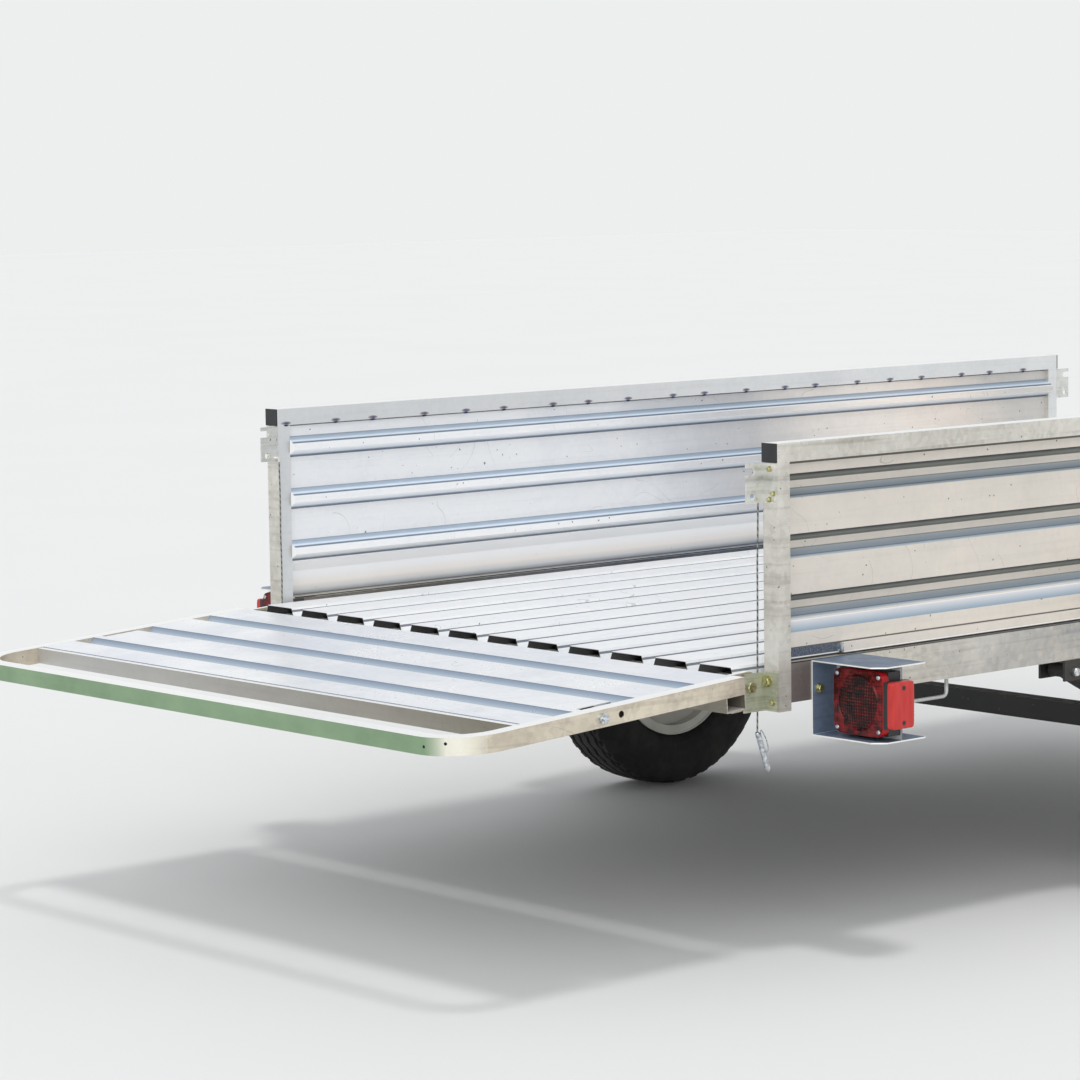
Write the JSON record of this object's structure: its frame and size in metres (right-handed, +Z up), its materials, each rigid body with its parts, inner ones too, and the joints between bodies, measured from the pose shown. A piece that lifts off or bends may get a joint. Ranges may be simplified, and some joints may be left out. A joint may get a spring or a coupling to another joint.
{
  "type": "utility trailer",
  "caption": "Single-axle galvanised utility trailer with ribbed sides, corrugated floor, drop gate, coupler drawbar and swivel jack; the front panel is missing.",
  "frame": {"origin": "on the ground at the middle of the bounding box", "axes": "+X to the trailer's right, +Y forward to the hitch, +Z up"},
  "size_m": [1.804, 4.2334, 0.906],
  "materials": {
    "steel": "hot-dip galvanised, satin",
    "bright_steel": "zinc plated",
    "black_paint": "black paint, semi-gloss",
    "silver_paint": "silver paint",
    "tyre": "matte rubber",
    "black_plastic": "moulded, matte",
    "red_lens": "moulded lens, gloss"
  },
  "bodies": {
    "chassis": {"side_rail_left": "steel", "side_rail_right": "steel", "rear_cross_member": "steel", "front_cross_member": "steel", "mid_cross_members": "steel", "deck": "steel", "side_panel_left": "steel", "side_panel_right": "steel", "top_rail_left": "steel", "top_rail_right": "steel", "rear_post_left": "steel", "rear_post_right": "steel", "front_post_left": "steel", "front_post_right": "steel", "rear_latches": "steel", "front_latches": "steel", "hinge_brackets": "steel", "tongue": "steel", "tongue_brace_left": "steel", "tongue_brace_right": "steel", "fender_left": "steel", "fender_right": "steel", "lamp_bracket_left": "steel", "lamp_bracket_right": "steel", "tie_loops": "steel", "jack_mount": "steel", "coupler": "bright_steel", "retaining_pin_left": "bright_steel", "retaining_pin_right": "bright_steel", "lanyard_left": "bright_steel", "lanyard_right": "bright_steel", "axle": "black_paint", "leaf_spring_left": "black_paint", "leaf_spring_right": "black_paint", "spring_hangers": "black_paint", "axle_clamps": "black_paint", "coupler_latch": "black_paint", "rail_caps": "black_plastic", "lamp_housing_left": "black_plastic", "lamp_housing_right": "black_plastic", "lamp_lens_left": "red_lens", "lamp_lens_right": "red_lens", "side_marker_left": "red_lens", "side_marker_right": "red_lens"},
    "gate": {"gate_frame": "steel", "gate_sheet": "steel", "gate_studs": "bright_steel"},
    "wheel_left": {"rim_left": "silver_paint", "tyre_left": "tyre", "hub_left": "black_paint"},
    "wheel_right": {"rim_right": "silver_paint", "tyre_right": "tyre", "hub_right": "black_paint"},
    "jack": {"jack_tube": "steel", "jack_crank": "black_paint"},
    "jack_foot": {"jack_leg": "steel"},
    "jack_roller": {"jack_wheel": "black_plastic"}
  },
  "joints": [
    {"name": "gate_hinge", "type": "hinge", "parent": "chassis", "child": "gate", "pos_m": [0, -1.43328, 0.488], "axis": [-1, 0, 0], "range_deg": [0, 93.42]},
    {"name": "wheel_left_spin", "type": "hinge", "parent": "chassis", "child": "wheel_left", "pos_m": [-0.8135, -0.23828, 0.281], "axis": [1, 0, 0], "continuous": true},
    {"name": "wheel_right_spin", "type": "hinge", "parent": "chassis", "child": "wheel_right", "pos_m": [0.8135, -0.23828, 0.281], "axis": [1, 0, 0], "continuous": true},
    {"name": "jack_swivel", "type": "hinge", "parent": "chassis", "child": "jack", "pos_m": [-0.09, 1.82672, 0.43], "axis": [-1, 0, 0], "range_deg": [0, 90]},
    {"name": "jack_leg_slide", "type": "slide", "parent": "jack", "child": "jack_foot", "axis": [0, 0, 1], "range_m": [-0.06, 0.15]},
    {"name": "jack_wheel_spin", "type": "hinge", "parent": "jack_foot", "child": "jack_roller", "pos_m": [-0.09, 1.82672, 0.075], "axis": [1, 0, 0], "continuous": true}
  ]
}
